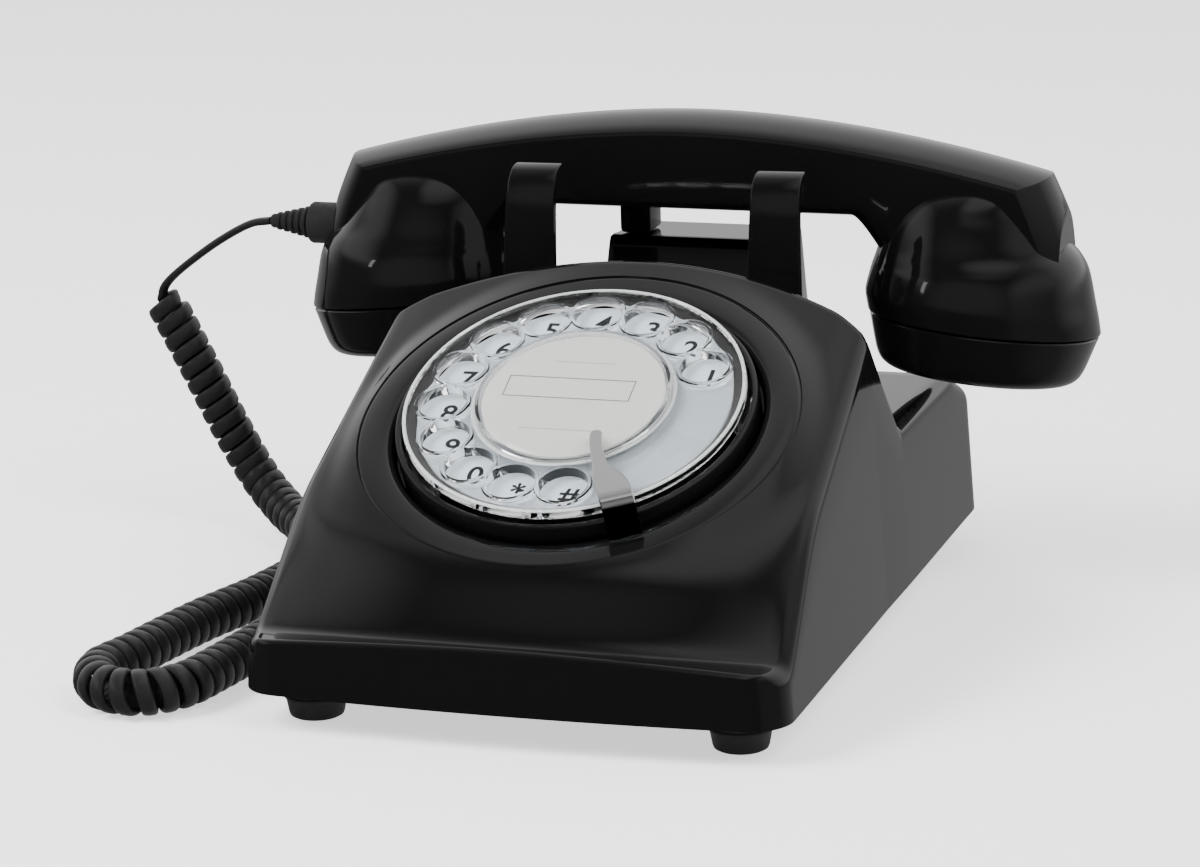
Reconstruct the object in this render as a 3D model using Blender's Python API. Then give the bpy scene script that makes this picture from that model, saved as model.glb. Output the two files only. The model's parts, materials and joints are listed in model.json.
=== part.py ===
"""Desk telephone with a rotary dial. Metres, +Z up, the dial faces -Y, the left of the case is -X.

Most sizes are given in millimetres in the case's own axes: x from the middle plane, y from the front of
the case towards its back, z from a datum just above the table. case() turns such a point into metres.
"""

import math

import bmesh
import bpy
from mathutils import Matrix, Vector

MM = 0.001
MID_Y = 115.25      # case y of the middle of the whole body
TABLE_DROP = 3.8    # the table lies this far under the datum

# Case shell
HALF_WIDTH = 76.0
LENGTH = 233.0
BOTTOM_Z = 6.5
WALL = 3.0
DRAFT = 0.068
CORNER_R = 12.0
EDGE_R = 5.0
FRONT_BOW = 2.5
FACE_Z = 36.93
FACE_SLOPE = math.tan(math.radians(26.0))
FACE_CROWN = 6.2
CHANNEL_Z = 53.0
SADDLE_HALF = 30.0
SADDLE_Z = 80.0
SHELF_Z = 95.0
SHELF_FRONT_Y = 190.0
SHELF_BACK_Y = 212.0
JACK_SPOT = (-75.0, 143.0, 17.5)
LINE_SPOT = (30.0, 232.0, 17.5)
FOOT_SPOTS = ((-59.7, 18.0), (59.7, 18.0), (-59.7, 212.0), (59.7, 212.0))

# Cradle
HORN_THICK = 3.2
HORN_FOOT_GAP = 2.2
HORN_PATH = ((136.6, 0.0), (138.2, 104.0), (140.2, 117.5), (142.2, 121.3), (145.2, 123.6), (149.5, 124.3))
REST_X = (16.5, 26.0)
REST_Y = (191.0, 204.0)
REST_Z = 105.6
PLUNGER_R = 2.5

# Dial, measured from the rim of the finger wheel along its tilted axis
DIAL_TILT = math.radians(26.0)
DIAL_CENTRE = (0.0, 65.5, 76.1)
WHEEL_R = 47.6
WHEEL_THICK = 3.0
HOLE_COUNT = 12
HOLE_R = 6.9
PLATE_R = 44.2
PLATE_Z = -4.1
HOLE_CIRCLE_R = 36.7
FIRST_HOLE = math.radians(25.0)
HOLE_STEP = math.radians(23.3)
WELL_R = 51.0
SURROUND_Y = 68.35
SURROUND_FLAT_R = 56.0
SURROUND_BLEND_R = 72.0
GEAR_R = 24.0
PINION_R = 4.0

# Bell
GONG_X = 33.0
GONG_Y = 160.0
GONG_POST = 34.0

# Handset
HANDSET_Y = 185.4
CUP_X = 87.5
CUP_R = 34.0
CUP_TILT = math.atan(0.1)
SEAM_Z = 74.5
END_R = 18.0        # the handle's round ends
# Each ring of a cup: height above the seam, inward shift of its centre, radius
CUP_RINGS = (
    (0.0, 0.0, 34.0),
    (8.2, 1.2, 33.7),
    (15.8, 1.3, 31.9),
    (20.0, 2.0, 30.0),
    (24.0, 3.2, 27.4),
    (29.4, 3.9, 24.6),
    (34.0, 4.3, 21.8),
    (38.7, 3.6, 18.0),
    (42.0, 3.2, 12.0),
    (43.4, 3.2, 3.0),
)
HANDLE_HALF_DEPTH = 15.6
HANDLE_UNDER_Z = 107.0

# Curly cord
COIL_R = 6.8
LEAD_R = 1.6
BOOT_X = -111.6
BOOT_Z = 96.0

LEAD_ROUTE = (
    (-137.0, 185.4, 96.0),
    (-144.0, 185.4, 94.7),
    (-154.0, 185.4, 89.4),
    (-165.0, 185.4, 81.8),
    (-172.6, 185.4, 75.4),
    (-174.8, 185.4, 71.0),
)
COIL_ROUTE = (
    (-173.0, 185.4, 66.8),
    (-163.0, 185.4, 47.5),
    (-154.0, 186.0, 29.0),
    (-145.0, 186.0, 13.5),
    (-133.0, 178.0, 5.4),
    (-116.0, 158.0, 3.6),
    (-106.0, 128.0, 3.2),
    (-108.5, 98.0, 3.2),
    (-116.0, 68.0, 3.2),
    (-121.5, 35.0, 3.2),
    (-124.4, 19.0, 3.2),
    (-118.0, 6.5, 3.2),
    (-106.0, 3.5, 3.2),
    (-97.0, 12.0, 3.2),
    (-93.5, 28.0, 3.2),
    (-90.6, 52.0, 3.2),
    (-88.4, 80.0, 3.2),
    (-86.6, 98.0, 3.2),
)
TAIL_ROUTE = (
    (-86.4, 99.5, 3.2),
    (-86.6, 108.0, 3.6),
    (-90.0, 120.0, 8.0),
    (-95.0, 131.0, 13.5),
    (-98.0, 139.0, 16.8),
    (-96.0, 143.0, 17.5),
    (-92.4, 143.0, 17.5),
)

GAP = 0.3


def case(x, y, z):
    """A point in metres from case millimetres."""
    return Vector((x * MM, (y - MID_Y) * MM, (z + TABLE_DROP) * MM))


def clear_scene():
    for obj in list(bpy.data.objects):
        bpy.data.objects.remove(obj, do_unlink=True)


def material(name, colour, roughness, metallic=0.0, transmission=0.0):
    found = bpy.data.materials.get(name)
    if found:
        return found
    made = bpy.data.materials.new(name)
    made.use_nodes = True
    shader = made.node_tree.nodes["Principled BSDF"]
    shader.inputs["Base Color"].default_value = (*colour, 1.0)
    shader.inputs["Roughness"].default_value = roughness
    shader.inputs["Metallic"].default_value = metallic
    shader.inputs["Transmission Weight"].default_value = transmission
    return made


def gloss_black():
    return material("gloss_black", (0.012, 0.012, 0.012), 0.12)


def satin_black():
    return material("satin_black", (0.02, 0.02, 0.02), 0.4)


def soft_rubber():
    return material("soft_rubber", (0.015, 0.015, 0.015), 0.7)


def clear_acrylic():
    return material("clear_acrylic", (0.95, 0.97, 0.98), 0.03, transmission=1.0)


def pale_plate():
    return material("pale_plate", (0.66, 0.72, 0.76), 0.35)


def card_paper():
    return material("card_paper", (0.88, 0.88, 0.86), 0.6)


def bright_steel():
    return material("bright_steel", (0.6, 0.6, 0.6), 0.2, metallic=1.0)


def zinc_steel():
    return material("zinc_steel", (0.5, 0.5, 0.5), 0.35, metallic=1.0)


def brass_metal():
    return material("brass_metal", (0.7, 0.52, 0.25), 0.3, metallic=1.0)


def board_green():
    return material("board_green", (0.05, 0.2, 0.08), 0.5)


def mesh_object(name, points, faces, look, parent=None, smooth=True):
    """A closed mesh from points in metres, with its normals turned outwards."""
    data = bpy.data.meshes.new(name)
    data.from_pydata([tuple(p) for p in points], [], faces)
    shape = bmesh.new()
    shape.from_mesh(data)
    bmesh.ops.remove_doubles(shape, verts=shape.verts, dist=1e-6)
    bmesh.ops.recalc_face_normals(shape, faces=shape.faces)
    for face in shape.faces:
        face.smooth = smooth
    shape.to_mesh(data)
    shape.free()
    data.materials.append(look)
    obj = bpy.data.objects.new(name, data)
    obj.parent = parent
    bpy.context.scene.collection.objects.link(obj)
    return obj


def loft(rings):
    """Points and faces of a closed body through rings of equal length, with a flat cap at each end."""
    count = len(rings[0])
    points = [p for ring in rings for p in ring]
    faces = [tuple(range(count))[::-1]]
    for j in range(len(rings) - 1):
        for i in range(count):
            a = j * count + i
            b = j * count + (i + 1) % count
            faces.append((a, b, b + count, a + count))
    last = (len(rings) - 1) * count
    faces.append(tuple(range(last, last + count)))
    return points, faces


def turned(name, profile, look, segments=32, parent=None, place=None):
    """A body turned about its own Z from a closed profile of (radius, height) in mm."""
    data = bpy.data.meshes.new(name)
    shape = bmesh.new()
    verts = [shape.verts.new((r * MM, 0.0, z * MM)) for r, z in profile]
    loop = [shape.edges.new((verts[i], verts[(i + 1) % len(verts)])) for i in range(len(verts))]
    axis_edges = [e for e in loop if all(abs(v.co.x) < 1e-9 for v in e.verts)]
    bmesh.ops.delete(shape, geom=axis_edges, context="EDGES")
    bmesh.ops.spin(
        shape,
        geom=shape.verts[:] + shape.edges[:],
        cent=(0, 0, 0),
        axis=(0, 0, 1),
        angle=math.tau,
        steps=segments,
        use_merge=True,
    )
    bmesh.ops.remove_doubles(shape, verts=shape.verts, dist=1e-6)
    bmesh.ops.recalc_face_normals(shape, faces=shape.faces)
    for face in shape.faces:
        face.smooth = True
    shape.to_mesh(data)
    shape.free()
    data.materials.append(look)
    obj = bpy.data.objects.new(name, data)
    obj.parent = parent
    if place is not None:
        obj.matrix_local = place
    bpy.context.scene.collection.objects.link(obj)
    return obj


def block(name, low, high, look, parent=None, bevel=0.0):
    """A box between two corners in metres."""
    data = bpy.data.meshes.new(name)
    shape = bmesh.new()
    bmesh.ops.create_cube(shape, size=1.0)
    size = Vector(high) - Vector(low)
    bmesh.ops.scale(shape, vec=size, verts=shape.verts)
    if bevel:
        bmesh.ops.bevel(shape, geom=shape.edges[:], offset=bevel * MM, segments=2, affect="EDGES", profile=0.5)
    shape.to_mesh(data)
    shape.free()
    data.materials.append(look)
    obj = bpy.data.objects.new(name, data)
    obj.location = (Vector(high) + Vector(low)) / 2
    obj.parent = parent
    bpy.context.scene.collection.objects.link(obj)
    return obj


def cutter(obj):
    obj.hide_render = True
    obj.display_type = "WIRE"
    return obj


def boolean(target, other, operation):
    modifier = target.modifiers.new(operation.lower() + "_" + other.name, "BOOLEAN")
    modifier.operation = operation
    modifier.solver = "EXACT"
    modifier.object = other
    cutter(other)


def axis_empty(name, location, rotation_x=0.0):
    empty = bpy.data.objects.new(name, None)
    empty.location = location
    empty.rotation_euler = (rotation_x, 0.0, 0.0)
    bpy.context.scene.collection.objects.link(empty)
    return empty


# ---- Case shell ------------------------------------------------------------------------------------


def soft_min(a, b, blend):
    h = max(blend - abs(a - b), 0.0) / blend
    return min(a, b) - h * h * blend / 4


def ridge_y(x):
    return 131.0 - 13.0 * (x / 66.0) ** 2


def ramp(value, start, end):
    t = min(max((value - start) / (end - start), 0.0), 1.0)
    return t * t * (3 - 2 * t)


def cradle_floor(x, y):
    """Height of the handset's cradle: a raised middle between two channels for the cups."""
    middle = SADDLE_Z + (SHELF_Z - SADDLE_Z) * ramp(y, SHELF_FRONT_Y - 8, SHELF_FRONT_Y + 1)
    middle -= max(0.0, y - SHELF_BACK_Y) * 1.7
    side = CHANNEL_Z - max(0.0, y - 205.0) * 0.42
    half = SADDLE_HALF - max(0.0, y - SHELF_FRONT_Y) * 0.17
    return side + (middle - side) * ramp(abs(x), half + 1.5, half - 1.5)


def crown(x, y):
    """How far the face falls towards the sides; it stays flat round the dial."""
    from_dial = math.hypot(x, (y - SURROUND_Y) / math.cos(DIAL_TILT))
    across = (min(abs(x), 74.0) / 70.0) ** 2
    return FACE_CROWN * across * ramp(from_dial, SURROUND_FLAT_R, SURROUND_BLEND_R)


def case_top(x, y):
    """Height of the case's outside above the datum: nose, dial face, ridge, then the cradle."""
    across = (min(abs(x), 74.0) / 70.0) ** 2
    nose_start = 2.0 + 9.0 * across
    nose = 24.3 - 2.5 * across + (1.9 - 0.85 * across) * max(0.0, y - nose_start)
    face = FACE_Z + FACE_SLOPE * y - crown(x, y)
    back = FACE_Z + FACE_SLOPE * ridge_y(x) - FACE_CROWN * across - 1.2 * (y - ridge_y(x))
    front = soft_min(soft_min(nose, face, 4.0), back, 3.0)
    return max(front, cradle_floor(x, y)) if y > ridge_y(x) else front


def wall_x(z):
    return HALF_WIDTH - DRAFT * (z - BOTTOM_Z)


def round_corner(x, y):
    """Moves a point of the rectangular plan onto the plan with rounded corners."""
    a = (abs(x) - (HALF_WIDTH - CORNER_R)) / CORNER_R
    for centre, way in ((CORNER_R, -1), (LENGTH - CORNER_R, 1)):
        b = (y - centre) * way / CORNER_R
        if a > 0 and b > 0:
            x = math.copysign(HALF_WIDTH - CORNER_R + CORNER_R * a * math.sqrt(1 - b * b / 2), x)
            y = centre + way * CORNER_R * b * math.sqrt(1 - a * a / 2)
    return x, y


def case_point(x, y):
    """A point of the outside, from plan coordinates on the plain rectangle."""
    side_depth = HALF_WIDTH - abs(x)
    back_depth = LENGTH - y
    px, py = round_corner(x, y)
    bend = max(0.0, 1 - abs(py - 131) / (46 if py < 131 else 21))
    py -= 13.0 * min(abs(px) / 66.0, 1.12) ** 2 * ramp(bend, 0, 1)
    if py < 30:
        py -= FRONT_BOW * (1 - min(abs(px) / 64.0, 1.0) ** 2) * (1 - py / 30)
    z = case_top(px, py)
    for depth in (side_depth, back_depth):
        if depth < EDGE_R:
            z -= EDGE_R - math.sqrt(EDGE_R**2 - (EDGE_R - depth) ** 2)
    if abs(px) > 60:
        px *= 1 + (wall_x(z) / HALF_WIDTH - 1) * (abs(px) - 60) / (HALF_WIDTH - 60)
    return px, py, z


def plan_stations(coarse):
    half = (12, 21, 27, 30, 33, 42, 52, 60, 67, 71, 73.5, 75.2, 76)
    along = (0, 1.5, 5, 9, 12, 16, 22, 32, 50, 75, 96, 112, 121, 127, 131, 135, 140, 146, 152, 170)
    along += (182, 185, 188, 191, 201, 212, 221, 228, 231, 232.4, 233)
    if coarse:
        half = (24, 32, 50, 68, 76)
        along = (0, 6, 12, 22, 40, 70, 100, 120, 131, 140, 152, 188, 190.5, 212, 224, 233)
    xs = [-x for x in reversed(half)] + [0] + list(half)
    return xs, list(along)


def skirted(rows, low_z, flare):
    """A closed body under a grid of (x, y, z) rows: the grid, a skirt round it and a flat underside."""
    wide = len(rows[0])
    long = len(rows)
    points = [p for row in rows for p in row]
    faces = []
    for j in range(long - 1):
        for i in range(wide - 1):
            a = j * wide + i
            faces.append((a, a + 1, a + wide + 1, a + wide))
    rim = [i for i in range(wide)]
    rim += [j * wide + wide - 1 for j in range(1, long)]
    rim += [(long - 1) * wide + i for i in range(wide - 2, -1, -1)]
    rim += [j * wide for j in range(long - 2, 0, -1)]
    first = len(points)
    for index in rim:
        x, y, z = points[index]
        spread = flare * (z - low_z) * abs(x) / HALF_WIDTH
        points.append((x + math.copysign(spread, x), y, low_z))
    count = len(rim)
    for k in range(count):
        n = (k + 1) % count
        faces.append((rim[k], first + k, first + n, rim[n]))
    faces.append(tuple(range(first, first + count)))
    return points, faces


def case_hollow(xs, ys):
    """The inside of the shell: everywhere at least a wall's thickness under and within the outside."""
    rows = []
    for y in ys:
        row = []
        inner_y = WALL + FRONT_BOW / 2 + (y / LENGTH) * (LENGTH - 2 * WALL - FRONT_BOW / 2)
        for x in xs:
            px, py = round_corner(x * (HALF_WIDTH - WALL) / HALF_WIDTH, inner_y)
            reach = WALL + 0.8
            around = [case_top(px + dx, py + dy) for dx in (-reach, 0, reach) for dy in (-reach, 0, reach)]
            z = min(around) - WALL
            edge = HALF_WIDTH - WALL - abs(px)
            z -= max(0.0, 4.0 - edge) * 0.9
            if abs(px) > 60:
                px *= 1 + (wall_x(z) / HALF_WIDTH - 1) * (abs(px) - 60) / (HALF_WIDTH - 60)
            row.append((px, py, z))
        rows.append(row)
    return rows


def build_housing(dial_axis):
    xs, ys = plan_stations(False)
    rows = [[case_point(x, y) for x in xs] for y in ys]
    points, faces = skirted(rows, BOTTOM_Z, DRAFT)
    housing = mesh_object("housing", [case(*p) for p in points], faces, gloss_black())
    xs, ys = plan_stations(True)
    points, faces = skirted(case_hollow(xs, ys), BOTTOM_Z - 4, DRAFT * 0.9)
    boolean(housing, mesh_object("housing_hollow", [case(*p) for p in points], faces, gloss_black()), "DIFFERENCE")
    well = turned("dial_well", [(0, -24), (WELL_R, -24), (WELL_R, 12), (0, 12)], gloss_black(), 48, dial_axis)
    boolean(housing, well, "DIFFERENCE")
    for name, (x, y, z), side in (("jack_hole_side", JACK_SPOT, 5.4), ("jack_hole_back", LINE_SPOT, 6.0)):
        low = case(x - 6, y - side, z - 5.4)
        high = case(x + 6, y + side, z + 5.4)
        boolean(housing, block(name, low, high, gloss_black()), "DIFFERENCE")
    return housing


def build_underside():
    """The base plate that closes the shell, its rubber feet and its screws."""
    inner_x = HALF_WIDTH - WALL - 1.2
    outline = []
    for cx, cy, start in ((1, LENGTH - 17, 0), (-1, LENGTH - 17, 90), (-1, 17, 180), (1, 17, 270)):
        for step in range(4):
            angle = math.radians(start + step * 30)
            outline.append((cx * (inner_x - 10) + 10 * math.cos(angle), cy + 10 * math.sin(angle)))
    rings = [[case(x, y, z) for x, y in outline] for z in (BOTTOM_Z + 0.3, BOTTOM_Z + 2.3)]
    plate = mesh_object("base_plate", *loft(rings), zinc_steel(), smooth=False)
    foot = [(0, 0), (7.5, 0), (8.3, 5), (9.2, 9.0), (9.2, BOTTOM_Z + TABLE_DROP), (0, BOTTOM_Z + TABLE_DROP)]
    screw = [(0, 0), (3, 0), (3, 2), (1.4, 2), (1.4, 12), (0, 12)]
    for number, (x, y) in enumerate(FOOT_SPOTS, 1):
        spot = case(x, y, -TABLE_DROP)
        turned(f"foot_{number}", foot, soft_rubber(), 24, place=Matrix.Translation(spot))
        inward = case(x * 0.62, y, BOTTOM_Z - 1.9)
        hole = turned(f"screw_hole_{number}", [(0, -4), (1.9, -4), (1.9, 8), (0, 8)], zinc_steel(), 12,
                      place=Matrix.Translation(inward))
        boolean(plate, hole, "DIFFERENCE")
        turned(f"base_screw_{number}", screw, zinc_steel(), 12, place=Matrix.Translation(inward))


# ---- Cradle ----------------------------------------------------------------------------------------


def build_cradle():
    """Two front horns, two rests behind them and the hook-switch plungers in the rests."""
    plungers = axis_empty("hook_axis", case(0, 197.5, SADDLE_Z))
    for side, word in ((-1, "left"), (1, "right")):
        rings = []
        for index, (y, z) in enumerate(HORN_PATH):
            before = HORN_PATH[max(index - 1, 0)]
            after = HORN_PATH[min(index + 1, len(HORN_PATH) - 1)]
            run = Vector((after[0] - before[0], after[1] - before[1])).normalized()
            ny = run.y * HORN_THICK
            nz = -run.x * HORN_THICK
            lean = index / (len(HORN_PATH) - 1)
            inner, outer = 28.9 + lean * 0.6, 45.2 - lean * 1.6
            corners = [(inner, y, z), (outer, y, z), (outer, y + ny, z + nz), (inner, y + ny, z + nz)]
            if index == 0:
                corners = [(cx, cy, case_top(cx, cy) + HORN_FOOT_GAP) for cx, cy, _ in corners]
            rings.append([case(side * cx, cy, cz) for cx, cy, cz in corners])
        mesh_object(f"horn_{word}", *loft(rings), gloss_black(), smooth=False)
        ends = sorted(side * x for x in REST_X)
        low = case(ends[0], REST_Y[0], SHELF_Z + GAP)
        high = case(ends[1], REST_Y[1], REST_Z)
        rest = block(f"rest_{word}", low, high, gloss_black(), bevel=1.0)
        spot = case(sum(ends) / 2, sum(REST_Y) / 2, SHELF_Z + 4)
        hole_r = PLUNGER_R + 0.4
        bore = turned(f"plunger_bore_{word}", [(0, 0), (hole_r, 0), (hole_r, 20), (0, 20)], gloss_black(), 16,
                      place=Matrix.Translation(spot))
        boolean(rest, bore, "DIFFERENCE")
        place = Matrix.Translation(spot - plungers.location + Vector((0, 0, GAP * MM)))
        height = HANDLE_UNDER_Z - SHELF_Z - 4 - 2 * GAP
        pin = [(0, 0), (PLUNGER_R, 0), (PLUNGER_R, height - 1), (PLUNGER_R - 0.8, height), (0, height)]
        turned(f"plunger_{word}", pin, satin_black(), 16, plungers, place)


# ---- Dial ------------------------------------------------------------------------------------------


def build_dial(axis):
    """Fixed cup, number plate and stop; turning wheel with its card; gear and governor behind."""
    cup = [(5.5, -20), (5.5, -22), (49.5, -22), (57, -18), (57, -16), (50.3, -16), (50.3, -3.4),
           (48.2, -3.4), (48.2, -20)]
    turned("dial_cup", cup, gloss_black(), 48, axis)
    plate = [(12.5, PLATE_Z - 1.4), (PLATE_R, PLATE_Z - 1.4), (PLATE_R, PLATE_Z), (12.5, PLATE_Z)]
    turned("number_plate", plate, pale_plate(), 48, axis)
    turned("plate_spacer", [(30, -19.7), (34, -19.7), (34, PLATE_Z - 1.7), (30, PLATE_Z - 1.7)], zinc_steel(), 24, axis)
    wheel_axis = axis_empty("wheel_axis", (0, 0, 0))
    wheel_axis.parent = axis
    rim = [(3.4, -WHEEL_THICK), (WHEEL_R - 0.6, -WHEEL_THICK), (WHEEL_R, -WHEEL_THICK + 0.8),
           (WHEEL_R, -0.5), (WHEEL_R - 0.8, 0), (WHEEL_R - 2.2, -0.5), (28.5, -0.5), (3.4, -0.5)]
    wheel = turned("finger_wheel", rim, clear_acrylic(), 64, wheel_axis)
    holes = bpy.data.meshes.new("finger_holes")
    shape = bmesh.new()
    for number in range(HOLE_COUNT):
        angle = FIRST_HOLE + number * HOLE_STEP
        centre = Matrix.Translation((math.cos(angle) * HOLE_CIRCLE_R * MM, math.sin(angle) * HOLE_CIRCLE_R * MM, 0))
        bmesh.ops.create_cone(shape, cap_ends=True, segments=20, radius1=HOLE_R * MM, radius2=HOLE_R * MM,
                              depth=0.02, matrix=centre)
    shape.to_mesh(holes)
    shape.free()
    drill = bpy.data.objects.new("finger_holes", holes)
    drill.parent = wheel_axis
    bpy.context.scene.collection.objects.link(drill)
    boolean(wheel, drill, "DIFFERENCE")
    card = [(0, -0.2), (25.4, -0.2), (25.4, 0.3), (0, 0.3)]
    turned("name_card", card, card_paper(), 40, wheel_axis)
    cover = [(26.0, -0.2), (27.2, -0.2), (27.0, 1.6), (26.0, 2.5), (0, 2.7), (0, 1.5), (25.2, 1.3), (26.0, 0.8)]
    turned("card_cover", cover, clear_acrylic(), 48, wheel_axis)
    hub = [(0, -0.6), (2.9, -0.6), (2.9, -3.3), (12, -3.3), (12, -4.6), (4.6, -4.6), (4.6, -25), (0, -25)]
    turned("dial_hub", hub, zinc_steel(), 24, wheel_axis)
    turned("main_gear", [(0, -25.3), (GEAR_R, -25.3), (GEAR_R, -28), (0, -28)], brass_metal(), 48, wheel_axis)
    governor = axis_empty("governor_axis", ((GEAR_R + PINION_R + GAP) * MM, 0, 0))
    governor.parent = axis
    drum = [(0, -24.4), (PINION_R, -24.4), (PINION_R, -30), (9, -30), (9, -36), (0, -36)]
    turned("governor", drum, brass_metal(), 24, governor)
    build_stop(axis)


def build_stop(axis):
    """Finger stop: a pointed tongue over the wheel that bends over the rim and runs down to the case."""
    top = 3.2
    path = [(12.2, -18.6, top, 1.6), (14.4, -26, top, 1.8), (16.6, -31, top, 2.0), (19.6, -35, top, 3.4),
            (22.4, -39, top, 4.4), (24.6, -43.4, top, 4.6), (25.3, -44.7, 2.2, 4.6), (26.2, -46.3, -2.0, 4.6),
            (27.1, -47.9, -6.0, 4.6)]
    across = Vector((0.91, 0.41, 0))
    rings = []
    for index, (x, y, z, half) in enumerate(path):
        before = Vector(path[max(index - 1, 0)][:3])
        after = Vector(path[min(index + 1, len(path) - 1)][:3])
        along = (after - before).normalized()
        normal = along.cross(across).normalized()
        centre = Vector((x, y, z))
        rings.append([
            (centre - across * half) * MM,
            (centre + across * half) * MM,
            (centre + across * half + normal * 1.1) * MM,
            (centre - across * half + normal * 1.1) * MM,
        ])
    mesh_object("finger_stop", *loft(rings), bright_steel(), axis, smooth=False)


# ---- Inside the case -------------------------------------------------------------------------------


def build_inside():
    """Bell, board, transformer and the two sockets."""
    block("circuit_board", case(-50, 96, 15), case(50, 150, 16.6), board_green())
    block("ringer_coil", case(-12, 176, 12), case(12, 196, 40.9), zinc_steel(), bevel=1)
    block("speech_transformer", case(-14, 100, 17), case(12, 122, 36), zinc_steel(), bevel=1)
    clapper = axis_empty("clapper_axis", case(0, 186, 42))
    gong = [(0, 0), (3.2, 0), (20, -1), (24, -6), (25, -12), (23.6, -12), (22.6, -6.6), (19, -2.6),
            (3.2, -1.6), (0, -1.6)]
    for side, word in ((-1, "left"), (1, "right")):
        foot = case(side * GONG_X, GONG_Y, BOTTOM_Z + 2.6)
        turned(f"gong_post_{word}", [(0, 0), (4, 0), (4, GONG_POST), (0, GONG_POST)], zinc_steel(), 12,
               place=Matrix.Translation(foot))
        top = case(side * GONG_X, GONG_Y, BOTTOM_Z + 2.6 + GONG_POST + GAP + 1.6)
        turned(f"gong_{word}", gong, brass_metal(), 32, place=Matrix.Translation(top))
    turned("clapper_ball", [(0, -4), (2.6, -3.4), (3.6, 0), (2.6, 3.4), (0, 4)], brass_metal(), 16, clapper,
           Matrix.Translation((0, -0.026, 0)))
    block("clapper_arm", (-0.0012, -0.022, -0.0008), (0.0012, 0.003, 0.0008), zinc_steel(), clapper)
    x, y, z = JACK_SPOT
    socket("handset_socket", case(x + 0.6, y - 5.1, z - 5.1), case(x + 15, y + 5.1, z + 5.1), (-1, 0))
    x, y, z = LINE_SPOT
    socket("line_socket", case(x - 5.7, y - 15, z - 5.1), case(x + 5.7, y + 0.4, z + 5.1), (0, 1))


def socket(name, low, high, way):
    """A jack body with its open mouth on the side that the way points to."""
    body = block(name, low, high, satin_black())
    inset = Vector((1.4 * MM, 1.4 * MM, 1.6 * MM))
    near = low + inset
    far = high - inset
    reach = 5 * MM
    if way[0] < 0:
        near.x = low.x - reach
    if way[1] > 0:
        far.y = high.y + reach
    boolean(body, block(name + "_mouth", near, far, satin_black()), "DIFFERENCE")


# ---- Handset ---------------------------------------------------------------------------------------


def handle_top(x):
    """Height of the handle's crown, a long shallow arch."""
    return 134.5 - 12.0 * (abs(x) / 93.0) ** 1.85


def cup_frame(side):
    """From an upright cup at its axis to its place: each mouth faces a little inwards and forwards."""
    turn = Matrix.Rotation(side * CUP_TILT, 4, "Y") @ Matrix.Rotation(-CUP_TILT, 4, "X")
    return Matrix.Translation((side * CUP_X * MM, 0, 0)) @ turn


def handset_body(name, rings, axis):
    """A lofted body that moves with the handset."""
    body = mesh_object(name, *loft(rings), gloss_black())
    body.parent = axis
    body.matrix_parent_inverse = Matrix.Translation(-axis.location)
    return body


def cup_shell(name, side, axis):
    """The upper, rounded part of a cup, standing on the tilted plane of its seam."""
    rings = []
    for height, shift, radius in CUP_RINGS:
        tilt = math.tan(CUP_TILT) * max(0.0, 1 - height / 20)
        ring = []
        for step in range(40):
            angle = math.tau * (step + 0.5) / 40
            x = radius * math.cos(angle)
            y = radius * math.sin(angle)
            ring.append(case(side * (CUP_X - shift + x), HANDSET_Y + y, SEAM_Z + height - tilt * (x + y)))
        rings.append(ring)
    return handset_body(name, rings, axis)


def handle_ends(axis):
    """The body that bounds the handle's plan: a slot with round ends that draw in upwards."""
    rings = []
    for height in (-2.0, 10.0, 20.0, 30.0, 40.0, 50.0, 64.0):
        centre = CUP_X + CUP_R - END_R - 0.142 * height - 0.0039 * height**2
        ring = []
        for step in range(40):
            angle = math.tau * (step + 0.5) / 40
            x = math.copysign(centre, math.cos(angle)) + END_R * math.cos(angle)
            ring.append(case(x, HANDSET_Y + END_R * math.sin(angle), SEAM_Z + height))
        rings.append(ring)
    return handset_body("handle_ends", rings, axis)


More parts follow.
